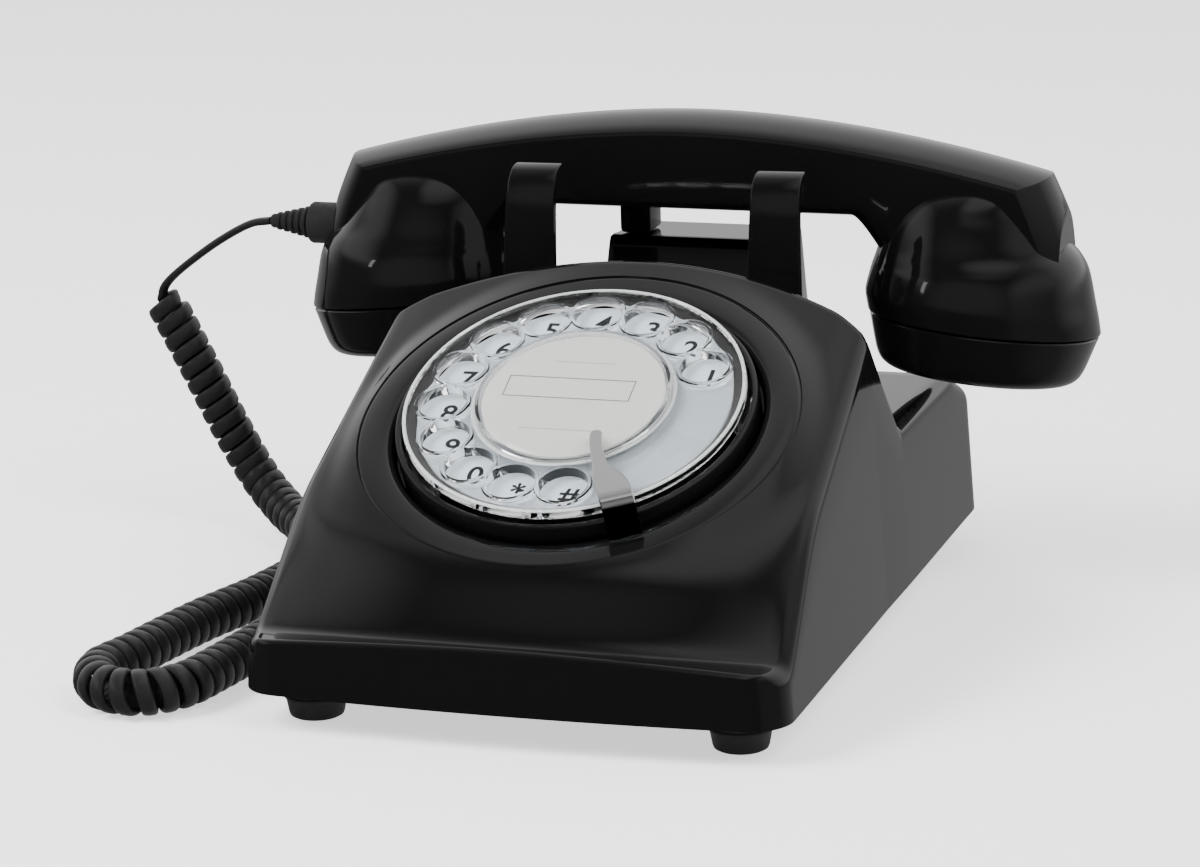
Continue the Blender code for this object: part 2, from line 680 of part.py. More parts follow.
def build_handset():
    """Handle with two cups, the screwed caps, the capsules and a weight inside."""
    axis = axis_empty("handset_axis", case(0, HANDSET_Y, SEAM_Z))
    rings = []
    half = HANDLE_HALF_DEPTH
    stations = (14, 28, 42, 50, 56, 62, 70, 80, 93, 104, 113)
    for x in [-x for x in reversed(stations)] + [0, *stations]:
        top = handle_top(x)
        low = HANDLE_UNDER_Z - 16 * min(max(0.0, abs(x) - 48) / 14, 1.0) ** 1.6
        outline = [(-half + 4, low), (-half + 0.5, low + 2.5), (-half, low + 6), (-half, top - 4.8),
                   (-half + 1.4, top - 3.4), (-half / 2, top - 1.0), (0, top), (half / 2, top - 1.0),
                   (half - 1.4, top - 3.4), (half, top - 4.8), (half, low + 6), (half - 0.5, low + 2.5),
                   (half - 4, low)]
        rings.append([case(x, HANDSET_Y + y, z) for y, z in outline])
    handle = handset_body("handle", rings, axis)
    boolean(handle, handle_ends(axis), "INTERSECT")
    cavity = [(0, -3), (30.2, -3), (30.2, 9), (24, 19), (0, 19)]
    cap = [(0, -16.0), (25, -15.7), (28.4, -14.2), (30.4, -11.8), (32.3, -6.0), (33.6, -GAP), (31.4, -GAP),
           (30.2, -3), (26, -12.0), (0, -12.8)]
    capsule = [(0, -12.0), (18, -10.6), (24, -6), (24, 6), (0, 6)]
    ends = (("mouth", "microphone", -1), ("ear", "receiver", 1))
    for word, unit, side in ends:
        boolean(handle, cup_shell(f"{word}_cup", side, axis), "UNION")
    for word, unit, side in ends:
        lift = cup_frame(side)
        boolean(handle, turned(f"{word}_cavity", cavity, gloss_black(), 36, axis, lift), "DIFFERENCE")
        turned(f"{word}_cap", cap, gloss_black(), 40, axis, lift)
        turned(f"{unit}_capsule", capsule, zinc_steel(), 24, axis, lift)
    sideways = Matrix.Translation(case(BOOT_X, HANDSET_Y, BOOT_Z) - axis.location)
    sideways = sideways @ Matrix.Rotation(-math.pi / 2, 4, "Y")
    sleeve = turned("boot_socket", [(0, 0), (6.7, 0), (6.7, 20), (0, 20)], gloss_black(), 20, axis, sideways)
    boolean(handle, sleeve, "DIFFERENCE")
    boot = [(0, GAP), (6.4, GAP), (6.4, 11.4), (5.4, 12.0), (4.6, 16), (3.4, 21), (2.2, 25), (0, 25)]
    turned("cord_boot", boot, soft_rubber(), 20, axis, sideways)


# ---- Curly cord ------------------------------------------------------------------------------------

def smooth_route(knots, spacing):
    """Points every so often along a smooth curve through the knots, in case millimetres."""
    knots = [Vector(k) for k in knots]
    ends = [2 * knots[0] - knots[1]] + knots + [2 * knots[-1] - knots[-2]]
    fine = [knots[0]]
    for a, b, c, d in zip(ends, ends[1:], ends[2:], ends[3:]):
        for step in range(1, 25):
            t = step / 24
            fine.append(((2 * b) + (c - a) * t + (2 * a - 5 * b + 4 * c - d) * t**2
                         + (3 * b - a - 3 * c + d) * t**3) / 2)
    total = sum((q - p).length for p, q in zip(fine, fine[1:]))
    count = max(2, round(total / spacing))
    picked = [fine[0]]
    walked = 0.0
    for p, q in zip(fine, fine[1:]):
        walked += (q - p).length
        if walked >= total * len(picked) / count - 1e-6 and len(picked) < count:
            picked.append(q)
    return picked + [fine[-1]]


def cord_solid(name, knots, radius, spacing, resolution):
    data = bpy.data.curves.new(name, "CURVE")
    data.dimensions = "3D"
    data.bevel_depth = radius * MM
    data.bevel_resolution = resolution
    data.use_fill_caps = True
    route = smooth_route(knots, spacing)
    spline = data.splines.new("POLY")
    spline.points.add(len(route) - 1)
    for point, place in zip(spline.points, route):
        point.co = (*case(*place), 1.0)
    data.materials.append(satin_black())
    obj = bpy.data.objects.new(name, data)
    bpy.context.scene.collection.objects.link(obj)


def build_cord():
    cord_solid("cord_lead", LEAD_ROUTE, LEAD_R, 4.0, 2)
    cord_solid("cord_coil", COIL_ROUTE, COIL_R, 11.0, 4)
    cord_solid("cord_tail", TAIL_ROUTE, LEAD_R, 4.0, 2)
    x, y, z = JACK_SPOT
    block("cord_plug", case(-92.0, y - 3.3, z - 3.0), case(x + 9.0, y + 3.3, z + 3.0), clear_acrylic())


def main():
    clear_scene()
    dial_axis = axis_empty("dial_axis", case(*DIAL_CENTRE), DIAL_TILT)
    build_housing(dial_axis)
    build_underside()
    build_cradle()
    build_dial(dial_axis)
    build_inside()
    build_handset()
    build_cord()


main()
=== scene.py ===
"""Desk telephone with a rotary dial: the looks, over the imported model.

Shapes are in millimetres in the case's own axes: x from the middle plane, y from the case's front towards
its back, z from a datum just above the table. case() turns them into metres. The dial and the cups have
axes of their own, which dial_place() and cup_place() turn into metres.
"""

import json
import math

import bmesh
import bpy
import numpy as np
from mathutils import Matrix, Vector

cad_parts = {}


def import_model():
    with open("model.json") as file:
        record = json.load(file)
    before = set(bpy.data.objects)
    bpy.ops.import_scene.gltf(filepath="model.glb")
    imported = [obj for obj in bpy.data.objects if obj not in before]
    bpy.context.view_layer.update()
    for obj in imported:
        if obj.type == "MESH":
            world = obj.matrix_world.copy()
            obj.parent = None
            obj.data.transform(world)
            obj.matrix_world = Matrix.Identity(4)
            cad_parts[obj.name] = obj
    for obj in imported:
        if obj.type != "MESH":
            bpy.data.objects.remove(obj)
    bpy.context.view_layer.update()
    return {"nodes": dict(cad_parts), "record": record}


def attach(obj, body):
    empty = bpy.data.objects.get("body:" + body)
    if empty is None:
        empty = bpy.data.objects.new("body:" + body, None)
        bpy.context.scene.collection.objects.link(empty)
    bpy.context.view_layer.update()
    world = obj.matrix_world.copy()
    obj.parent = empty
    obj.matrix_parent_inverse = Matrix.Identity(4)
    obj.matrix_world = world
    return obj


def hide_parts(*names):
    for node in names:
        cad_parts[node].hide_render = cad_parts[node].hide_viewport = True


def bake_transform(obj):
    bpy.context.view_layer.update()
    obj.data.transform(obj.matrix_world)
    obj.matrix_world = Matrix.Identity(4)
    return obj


MM = 0.001
MID_Y = 115.25
TABLE_DROP = 3.8

CAMERA_TARGET = (0.00587, -0.04525, 0.0688)
CAMERA_YAW = 0.31768
CAMERA_PITCH = 0.25114
CAMERA_ROLL = -0.02606
CAMERA_DISTANCE = 1.11331
CAMERA_LENS = 122.0
LIGHT_AIM = (0, 0, 0.05)
FLOOR_GLOW = 1.05

DIAL_TILT = math.radians(26.0)
DIAL_CENTRE = (0.0, 65.5, 76.1)


def case(x, y, z):
    return Vector((x * MM, (y - MID_Y) * MM, (z + TABLE_DROP) * MM))


def case_array(points):
    return (np.asarray(points, float) - (0, MID_Y, -TABLE_DROP)) * MM


# ---- Stage -----------------------------------------------------------------------------------------


def build_camera():
    right = Vector((math.cos(CAMERA_YAW), math.sin(CAMERA_YAW), 0))
    back = Vector((math.sin(CAMERA_YAW) * math.cos(CAMERA_PITCH),
                   -math.cos(CAMERA_YAW) * math.cos(CAMERA_PITCH),
                   math.sin(CAMERA_PITCH)))
    up = back.cross(right)
    x_axis = math.cos(CAMERA_ROLL) * right + math.sin(CAMERA_ROLL) * up
    y_axis = -math.sin(CAMERA_ROLL) * right + math.cos(CAMERA_ROLL) * up
    data = bpy.data.cameras.new("camera")
    data.lens = CAMERA_LENS
    data.sensor_width = 36.0
    data.clip_end = 50
    camera = bpy.data.objects.new("camera", data)
    bpy.context.scene.collection.objects.link(camera)
    place = Matrix((x_axis, y_axis, back)).transposed().to_4x4()
    place.translation = Vector(CAMERA_TARGET) + back * CAMERA_DISTANCE
    camera.matrix_world = place
    bpy.context.scene.camera = camera


def build_world():
    """A studio in soft bands: pale behind, dim in front and below, and panels high up and at both sides."""
    world = bpy.data.worlds.new("studio")
    world.use_nodes = True
    nodes = world.node_tree.nodes
    links = world.node_tree.links
    background = nodes["Background"]
    coords = nodes.new("ShaderNodeTexCoord")
    parts = nodes.new("ShaderNodeSeparateXYZ")
    links.new(coords.outputs["Generated"], parts.inputs[0])
    x, y, z = parts.outputs
    bands = (
        ((y, (-0.2, 0.7), (0.02, 1.0)), (z, (-0.06, 0.1), (0.42, 1.15))),
        ((z, (0.35, 0.85), (0.0, 0.5)), (y, (-0.5, 0.3), (0.02, 1.0))),
        ((x, (-0.25, 0.05), (0.0, 1.0)), (z, (0.75, 0.95), (0.0, 1.0))),
        ((x, (-0.5, -0.8), (0.0, 0.9)), (z, (0.2, 0.5), (0.05, 1.0))),
        ((x, (0.5, 0.8), (0.0, 0.6)), (z, (0.05, 0.4), (0.25, 1.0))),
        ((y, (-0.5, -0.9), (0.0, 0.3)), (z, (0.08, 0.25), (0.0, 1.0))),
    )
    total = None
    for first, second in bands:
        along = map_range(nodes, links, *first)
        across = map_range(nodes, links, *second)
        band = joined(nodes, links, "MULTIPLY", along, across)
        total = band if total is None else joined(nodes, links, "MAXIMUM", total, band)
    links.new(total, background.inputs["Strength"])
    background.inputs["Color"].default_value = (1.0, 1.0, 1.0, 1.0)
    bpy.context.scene.world = world


def joined(nodes, links, operation, first, second):
    """A maths node over two outputs."""
    node = nodes.new("ShaderNodeMath")
    node.operation = operation
    links.new(first, node.inputs[0])
    links.new(second, node.inputs[1])
    return node.outputs[0]


def map_range(nodes, links, source, given, wanted):
    node = nodes.new("ShaderNodeMapRange")
    node.interpolation_type = "SMOOTHSTEP"
    node.inputs["From Min"].default_value = given[0]
    node.inputs["From Max"].default_value = given[1]
    node.inputs["To Min"].default_value = wanted[0]
    node.inputs["To Max"].default_value = wanted[1]
    links.new(source, node.inputs["Value"])
    return node.outputs[0]


def area_light(name, place, aim, size, power):
    """A rectangular soft light at a place in metres, turned towards its aim."""
    data = bpy.data.lights.new(name, "AREA")
    data.shape = "RECTANGLE"
    data.size, data.size_y = size
    data.energy = power
    light = bpy.data.objects.new(name, data)
    light.location = place
    light.rotation_euler = (Vector(aim) - Vector(place)).to_track_quat("-Z", "Y").to_euler()
    bpy.context.scene.collection.objects.link(light)
    return light


def build_stage():
    """Camera, world, floor and lights. The floor and the two large lights stay out of reflections."""
    build_camera()
    build_world()
    bpy.ops.mesh.primitive_plane_add(size=12, location=(0, 0, -0.0002))
    floor = bpy.context.object
    floor.name = "floor"
    look = plain_look("floor_paper", (0.9, 0.9, 0.9), 0.9)
    shader = look.node_tree.nodes["Principled BSDF"]
    shader.inputs["Specular IOR Level"].default_value = 0.0
    shader.inputs["Emission Color"].default_value = (1.0, 1.0, 1.0, 1.0)
    shader.inputs["Emission Strength"].default_value = FLOOR_GLOW
    floor.data.materials.append(look)
    floor.visible_glossy = False
    lights = [
        area_light("key", (-1.1, -0.9, 1.5), LIGHT_AIM, (1.0, 1.0), 60),
        area_light("fill", (1.2, -0.6, 1.5), LIGHT_AIM, (0.8, 1.0), 27),
        area_light("glint", (-1.5, -1.3, 0.95), LIGHT_AIM, (0.16, 0.5), 1.2),
    ]
    for soft in lights[:2]:
        soft.visible_glossy = False


# ---- Looks -----------------------------------------------------------------------------------------


def plain_look(name, colour, roughness, metallic=0.0):
    look = bpy.data.materials.new(name)
    look.use_nodes = True
    shader = look.node_tree.nodes["Principled BSDF"]
    shader.inputs["Base Color"].default_value = (*colour, 1.0)
    shader.inputs["Roughness"].default_value = roughness
    shader.inputs["Metallic"].default_value = metallic
    return look


def mottled_look(name, colour, roughness, spread, scale, metallic=0.0, bump=0.0):
    """A look whose gloss varies a little over the surface, as on a handled moulding."""
    look = plain_look(name, colour, roughness, metallic)
    nodes = look.node_tree.nodes
    links = look.node_tree.links
    shader = nodes["Principled BSDF"]
    coords = nodes.new("ShaderNodeTexCoord")
    noise = nodes.new("ShaderNodeTexNoise")
    noise.inputs["Scale"].default_value = scale
    noise.inputs["Detail"].default_value = 3
    links.new(coords.outputs["Object"], noise.inputs["Vector"])
    wanted = (roughness - spread, roughness + spread)
    varied = map_range(nodes, links, noise.outputs["Fac"], (0.3, 0.7), wanted)
    links.new(varied, shader.inputs["Roughness"])
    if bump:
        relief = nodes.new("ShaderNodeBump")
        relief.inputs["Strength"].default_value = bump
        relief.inputs["Distance"].default_value = 0.0003
        links.new(noise.outputs["Fac"], relief.inputs["Height"])
        links.new(relief.outputs["Normal"], shader.inputs["Normal"])
    return look


def black_look():
    look = mottled_look("gloss_black_look", (0.004, 0.004, 0.004), 0.06, 0.02, 30)
    look.node_tree.nodes["Principled BSDF"].inputs["IOR"].default_value = 1.42
    return look


def clear_look():
    look = plain_look("clear_acrylic_look", (1.0, 1.0, 1.0), 0.02)
    shader = look.node_tree.nodes["Principled BSDF"]
    shader.inputs["Transmission Weight"].default_value = 1.0
    shader.inputs["IOR"].default_value = 1.49
    return look


def painted_highlight_look():
    """Pale rings laid on the rims of the clear mouldings: a painted highlight where the rims catch light."""
    look = mottled_look("painted_highlight_edge_look", (0.92, 0.94, 0.95), 0.25, 0.05, 200)
    look.node_tree.nodes["Principled BSDF"].inputs["Transmission Weight"].default_value = 0.45
    return look


def build_looks():
    return {
        "gloss_black": black_look(),
        "satin_black": mottled_look("satin_black_look", (0.01, 0.01, 0.01), 0.38, 0.05, 200),
        "soft_rubber": mottled_look("soft_rubber_look", (0.012, 0.012, 0.012), 0.6, 0.08, 300, bump=0.2),
        "clear_acrylic": clear_look(),
        "painted_highlight_edge": painted_highlight_look(),
        "pale_plate": mottled_look("pale_plate_look", (0.66, 0.735, 0.80), 0.3, 0.05, 60),
        "card_paper": mottled_look("card_paper_look", (1.0, 0.99, 0.955), 0.6, 0.05, 400),
        "bright_steel": mottled_look("bright_steel_look", (0.62, 0.62, 0.62), 0.2, 0.05, 120, metallic=1.0),
        "zinc_steel": mottled_look("zinc_steel_look", (0.5, 0.5, 0.5), 0.35, 0.06, 90, metallic=1.0),
        "brass_metal": mottled_look("brass_metal_look", (0.7, 0.52, 0.25), 0.3, 0.06, 90, metallic=1.0),
        "board_green": mottled_look("board_green_look", (0.04, 0.18, 0.07), 0.45, 0.05, 150),
        "print_ink": mottled_look("print_ink_look", (0.012, 0.013, 0.015), 0.5, 0.05, 300),
        "faint_ink": mottled_look("faint_ink_look", (0.45, 0.45, 0.45), 0.5, 0.05, 300),
        # Near-black steel for the finger stop's strap: a painted dark reflection on the same steel as the
        # tongue.
        "steel_painted_dark_reflection": mottled_look("steel_painted_dark_reflection_look", (0.012, 0.012, 0.012), 0.22, 0.04, 120, metallic=1.0),
    }


def dress_nodes(frame, looks):
    """Gives every CAD node the look of its material slot."""
    for entry in frame["record"]["subparts"]:
        node = frame["nodes"][entry["node"]]
        look = looks[entry["material_slot"]]
        node.data.materials.clear()
        node.data.materials.append(look)


# ---- Pieces ----------------------------------------------------------------------------------------

CURVE_STEPS = 40


def solid(name, points, faces):
    """A closed body from points in metres, with its faces turned outwards."""
    data = bpy.data.meshes.new(name)
    data.from_pydata([tuple(p) for p in points], [], faces)
    shape = bmesh.new()
    shape.from_mesh(data)
    bmesh.ops.remove_doubles(shape, verts=shape.verts, dist=1e-6)
    bmesh.ops.recalc_face_normals(shape, faces=shape.faces)
    shape.to_mesh(data)
    shape.free()
    body = bpy.data.objects.new(name, data)
    bpy.context.scene.collection.objects.link(body)
    return body


def tube_faces(rings, sides):
    """Faces of a tube through rings of points, with both ends closed."""
    faces = [tuple(range(sides))[::-1]]
    for j in range(rings - 1):
        for i in range(sides):
            a = j * sides + i
            b = j * sides + (i + 1) % sides
            faces.append((a, b, b + sides, a + sides))
    last = (rings - 1) * sides
    faces.append(tuple(range(last, last + sides)))
    return faces


def curve_through(knots):
    """A dense smooth curve through the knots, with each knot's index on it."""
    knots = np.asarray(knots, float)
    ends = np.vstack([2 * knots[0] - knots[1], knots, 2 * knots[-1] - knots[-2]])
    fine = [knots[0]]
    marks = [0]
    for a, b, c, d in zip(ends, ends[1:], ends[2:], ends[3:]):
        for step in range(1, CURVE_STEPS + 1):
            t = step / CURVE_STEPS
            fine.append(((2 * b) + (c - a) * t + (2 * a - 5 * b + 4 * c - d) * t**2
                         + (3 * b - a - 3 * c + d) * t**3) / 2)
        marks.append(len(fine) - 1)
    return np.array(fine), marks


def lathe(name, profile, place, segments=96):
    """A body turned about its own axis from (radius, height) pairs in mm; place() maps mm to metres."""
    rings = []
    for step in range(segments):
        angle = math.tau * step / segments
        rings.append([place(r * math.cos(angle), r * math.sin(angle), z) for r, z in profile])
    count = len(profile)
    faces = []
    for j in range(segments):
        near = j * count
        far = ((j + 1) % segments) * count
        for i in range(count):
            n = (i + 1) % count
            if profile[i][0] < 1e-6 and profile[n][0] < 1e-6:
                continue
            corners = [near + i, far + i, far + n, near + n]
            if profile[i][0] < 1e-6:
                corners = [near + i, far + n, near + n]
            elif profile[n][0] < 1e-6:
                corners = [near + i, far + i, near + n]
            faces.append(tuple(corners))
    return solid(name, [p for ring in rings for p in ring], faces)


def loft(name, rings):
    """A closed body through rings of points in metres."""
    count = len(rings[0])
    return solid(name, [p for ring in rings for p in ring], tube_faces(len(rings), count))


def box(name, low, high, place=None):
    """A box between two corners in mm."""
    place = place or case
    corners = [[place(x, y, z) for x, y in ((low[0], low[1]), (high[0], low[1]), (high[0], high[1]),
                                            (low[0], high[1]))] for z in (low[2], high[2])]
    return loft(name, corners)


def settle(body):
    """Turns the body's modifiers into plain mesh."""
    graph = bpy.context.evaluated_depsgraph_get()
    made = bpy.data.meshes.new_from_object(body.evaluated_get(graph))
    body.modifiers.clear()
    old = body.data
    body.data = made
    bpy.data.meshes.remove(old)
    return body


def carve(body, *steps):
    """Joins, cuts or intersects the body with others in turn, and removes those others."""
    for operation, other in steps:
        modifier = body.modifiers.new(other.name, "BOOLEAN")
        modifier.operation = operation
        modifier.solver = "EXACT"
        modifier.object = other
    settle(body)
    for _, other in steps:
        bpy.data.objects.remove(other, do_unlink=True)
    return body


def soften(body, width, segments=3):
    """Rounds the body's sharp edges by a width in mm."""
    modifier = body.modifiers.new("soften", "BEVEL")
    modifier.width = width * MM
    modifier.segments = segments
    modifier.limit_method = "ANGLE"
    modifier.angle_limit = math.radians(40)
    return settle(body)


def dress(body, look, slot, rides, *nodes, sharp=35):
    """Gives a finished body its look and ties it to the part."""
    body.data.materials.clear()
    body.data.materials.append(look)
    body.data.shade_smooth()
    body.data.set_sharp_from_angle(angle=math.radians(sharp))
    if rides:
        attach(body, rides)
    if nodes:
        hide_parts(*nodes)
    return body


def dial_place(x, y, z):
    """Metres from the dial's own mm: x and y in its tilted plane, z up from the top of the wheel's rim."""
    cosine = math.cos(DIAL_TILT)
    sine = math.sin(DIAL_TILT)
    return case(x, DIAL_CENTRE[1] + y * cosine - z * sine, DIAL_CENTRE[2] + y * sine + z * cosine)


def at(x, y, z):
    """A place() for a body that stands upright on a point."""
    return lambda px, py, pz: case(x + px, y + py, z + pz)


def rounded_steps(start, end, count):
    """Stations that bunch towards the end as those on a rounded edge do."""
    return [start + (end - start) * math.sin(math.pi / 2 * i / count) for i in range(1, count + 1)]


# ---- Case ------------------------------------------------------------------------------------------

HALF_WIDTH = 76.0
LENGTH = 233.0
BOTTOM_Z = 6.5
DRAFT = 0.068
CORNER_R = 12.0
EDGE_R = 5.0
CREASE_R = 1.5
CREASE_DROP = 0.9
FRONT_BOW = 2.5
FACE_Z = 36.93
FACE_SLOPE = math.tan(DIAL_TILT)
FACE_CROWN = 6.2
RIDGE_Y = 131.0
RIDGE_BEND = 13.0
RIDGE_HALF = 66.0
CHANNEL_Z = 53.0
SADDLE_HALF = 30.0
SADDLE_Z = 80.0
SHELF_Z = 95.0
SHELF_FRONT_Y = 190.0
SHELF_BACK_Y = 212.0
SURROUND_Y = 68.35
SURROUND_R = 61.8
JACK_SPOT = (-75.0, 143.0, 17.5)
LINE_SPOT = (30.0, 232.0, 17.5)
SCREW_INSET = 0.62
FOOT_SPOTS = ((-59.7, 18.0), (59.7, 18.0), (-59.7, 212.0), (59.7, 212.0))


def ramp(value, start, end):
    t = min(max((value - start) / (end - start), 0.0), 1.0)
    return t * t * (3 - 2 * t)


def soft_min(a, b, blend):
    h = max(blend - abs(a - b), 0.0) / blend
    return min(a, b) - h * h * blend / 4


def towards_side(x):
    """Grows with the square of the distance from the middle plane, to just over 1."""
    return (min(abs(x), 74.0) / 70.0) ** 2


def ridge_y(x):
    """Where the sloping face ends, which bows towards the user at the sides."""
    return RIDGE_Y - RIDGE_BEND * (x / RIDGE_HALF) ** 2


def cradle_floor(x, y):
    """Height of the channel, the saddle and the back shelf."""
    middle = SADDLE_Z + (SHELF_Z - SADDLE_Z) * ramp(y, SHELF_FRONT_Y - 8, SHELF_FRONT_Y + 1)
    middle -= max(0.0, y - SHELF_BACK_Y) * 1.7
    side = CHANNEL_Z - max(0.0, y - 205.0) * 0.42
    half = SADDLE_HALF - max(0.0, y - SHELF_FRONT_Y) * 0.17
    return side + (middle - side) * ramp(abs(x), half + 1.5, half - 1.5)


def crown(x, y):
    """How far the face falls below its plane, outside the dial's surround."""
    from_dial = math.hypot(x, (y - SURROUND_Y) / math.cos(DIAL_TILT))
    return FACE_CROWN * towards_side(x) * ramp(from_dial, 56.0, 72.0)


def case_top(x, y):
    """Height of the case's outside before its edges are rounded."""
    across = towards_side(x)
    beyond = y - 2.0 - 9.0 * across
    nose = 23.8 - 2.5 * across + (1.9 - 0.85 * across) * (beyond + math.hypot(beyond, 2.0)) / 2
    face = FACE_Z + FACE_SLOPE * y - crown(x, y)
    back = FACE_Z + FACE_SLOPE * ridge_y(x) - FACE_CROWN * across - 1.2 * (y - ridge_y(x))
    front = soft_min(soft_min(nose, face, 4.0), back, 3.0)
    return max(front, cradle_floor(x, y)) if y > ridge_y(x) else front


def round_corner(x, y):
    a = (abs(x) - (HALF_WIDTH - CORNER_R)) / CORNER_R
    for centre, way in ((CORNER_R, -1), (LENGTH - CORNER_R, 1)):
        b = (y - centre) * way / CORNER_R
        if a > 0 and b > 0:
            x = math.copysign(HALF_WIDTH - CORNER_R + CORNER_R * a * math.sqrt(1 - b * b / 2), x)
            y = centre + way * CORNER_R * b * math.sqrt(1 - a * a / 2)
    return x, y


def case_point(x, y):
    """A point of the case's outside, from plan coordinates on the plain rectangle."""
    px, py = round_corner(x, y)
    bend = max(0.0, 1 - abs(py - RIDGE_Y) / (46 if py < RIDGE_Y else 21))
    py -= RIDGE_BEND * min(abs(px) / RIDGE_HALF, 1.12) ** 2 * ramp(bend, 0, 1)
    if py < 30:
        py -= FRONT_BOW * (1 - min(abs(px) / 64.0, 1.0) ** 2) * (1 - py / 30)
    z = case_top(px, py)
    for depth in (HALF_WIDTH - abs(x), LENGTH - y):
        if depth < EDGE_R:
            z -= EDGE_R - math.sqrt(EDGE_R**2 - (EDGE_R - depth) ** 2)
    z -= CREASE_DROP * max(0.0, 1 - y / CREASE_R) ** 2
    if abs(px) > 60:
        wall = HALF_WIDTH - DRAFT * (z - BOTTOM_Z)
        px *= 1 + (wall / HALF_WIDTH - 1) * (abs(px) - 60) / (HALF_WIDTH - 60)
    return px, py, z


def case_shell():
    """The outside as one closed body down to the bottom rim."""
    half = [3.0 * i for i in range(1, 8)] + [22 + 0.6 * i for i in range(20)]
    half += [35 + 2.0 * i for i in range(18)] + rounded_steps(HALF_WIDTH - EDGE_R, HALF_WIDTH, 10)
    xs = [-x for x in reversed(half)] + [0.0] + half
    ys = [CREASE_R * i / 6 for i in range(7)] + [2.0 + 0.5 * i for i in range(5)]
    ys += [5.0 + i for i in range(20)] + [26 + 2.5 * i for i in range(34)]
    ys += [110 + 0.8 * i for i in range(50)] + [151 + 3 * i for i in range(10)]
    ys += [180 + 0.7 * i for i in range(18)] + [194 + 3 * i for i in range(7)]
    ys += [214 + 2 * i for i in range(8)] + rounded_steps(LENGTH - EDGE_R, LENGTH, 10)
    rows = [[case_point(x, y) for x in xs] for y in ys]
    wide = len(xs)
    long = len(ys)
    points = [p for row in rows for p in row]
    faces = [(j * wide + i, j * wide + i + 1, (j + 1) * wide + i + 1, (j + 1) * wide + i)
             for j in range(long - 1) for i in range(wide - 1)]
    rim = list(range(wide)) + [j * wide + wide - 1 for j in range(1, long)]
    rim += [(long - 1) * wide + i for i in range(wide - 2, -1, -1)]
    rim += [j * wide for j in range(long - 2, 0, -1)]
    for level in range(1, 5):
        for index in rim:
            x, y, z = points[index]
            low = z + (BOTTOM_Z - z) * level / 4
            points.append((x * (1 + DRAFT * (z - low) / HALF_WIDTH), y, low))
    count = len(rim)
    first = wide * long
    loops = [rim] + [list(range(first + k * count, first + (k + 1) * count)) for k in range(4)]
    for upper, lower in zip(loops, loops[1:]):
        for k in range(count):
            n = (k + 1) % count
            faces.append((upper[k], lower[k], lower[n], upper[n]))
    faces.append(tuple(loops[-1]))
    return solid("case_shell", [case(*p) for p in points], faces)


def inside_body():
    """The room inside the shell, open at the bottom."""
    xs = [-70, -60, -45, -34, -31, -26, -12, 0, 12, 26, 31, 34, 45, 60, 70]
    ys = [6, 12, 20, 32, 50, 75, 100, 118, 130, 140, 150, 180, 187, 192, 205, 213, 222, 228]
    rings = []
    for y in ys:
        inset = max(0.0, 8 - min(y - 6, 228 - y)) * 0.5
        top = []
        for x in xs:
            px = x * (70 - inset) / 70
            around = [case_top(px + dx, y + dy) for dx in (-4, 0, 4) for dy in (-4, 0, 4)]
            top.append(case(px, y, min(around) - 3.4 - max(0.0, abs(px) - 64) * 1.2))
        left = case(-71.5 + inset, y, BOTTOM_Z - 3)
        right = case(71.5 - inset, y, BOTTOM_Z - 3)
        rings.append([left] + top + [right])
    return loft("inside_body", rings)


def surround():
    """The ring round the dial: a fine crease, a shallow flat and a rounded lip down into the well."""
    profile = [(SURROUND_R, -3.0), (SURROUND_R, -0.1), (61.65, -0.42), (61.35, -0.5), (61.1, -0.36),
               (60.9, -0.3), (60.4, -0.3), (57.5, -0.34), (54.4, -0.34), (53.6, -0.44), (52.8, -0.75),
               (52.0, -1.3), (51.4, -2.1), (51.05, -3.2), (50.95, -4.5), (50.95, -9.0), (52.5, -9.0),
               (52.5, -3.0)]
    steps = 180
    normal = Vector((0, -math.sin(DIAL_TILT), math.cos(DIAL_TILT)))
    rings = []
    for step in range(steps):
        angle = math.tau * step / steps
        ring = []
        for radius, depth in profile:
            x = radius * math.cos(angle)
            y = SURROUND_Y + radius * math.sin(angle) * math.cos(DIAL_TILT)
            base = Vector((x, y, FACE_Z + FACE_SLOPE * y - crown(x, y)))
            ring.append(case(*(base + normal * depth)))
        rings.append(ring)
    count = len(profile)
    faces = [(j * count + i, ((j + 1) % steps) * count + i, ((j + 1) % steps) * count + (i + 1) % count,
              j * count + (i + 1) % count) for j in range(steps) for i in range(count)]
    return solid("dial_surround", [p for ring in rings for p in ring], faces)


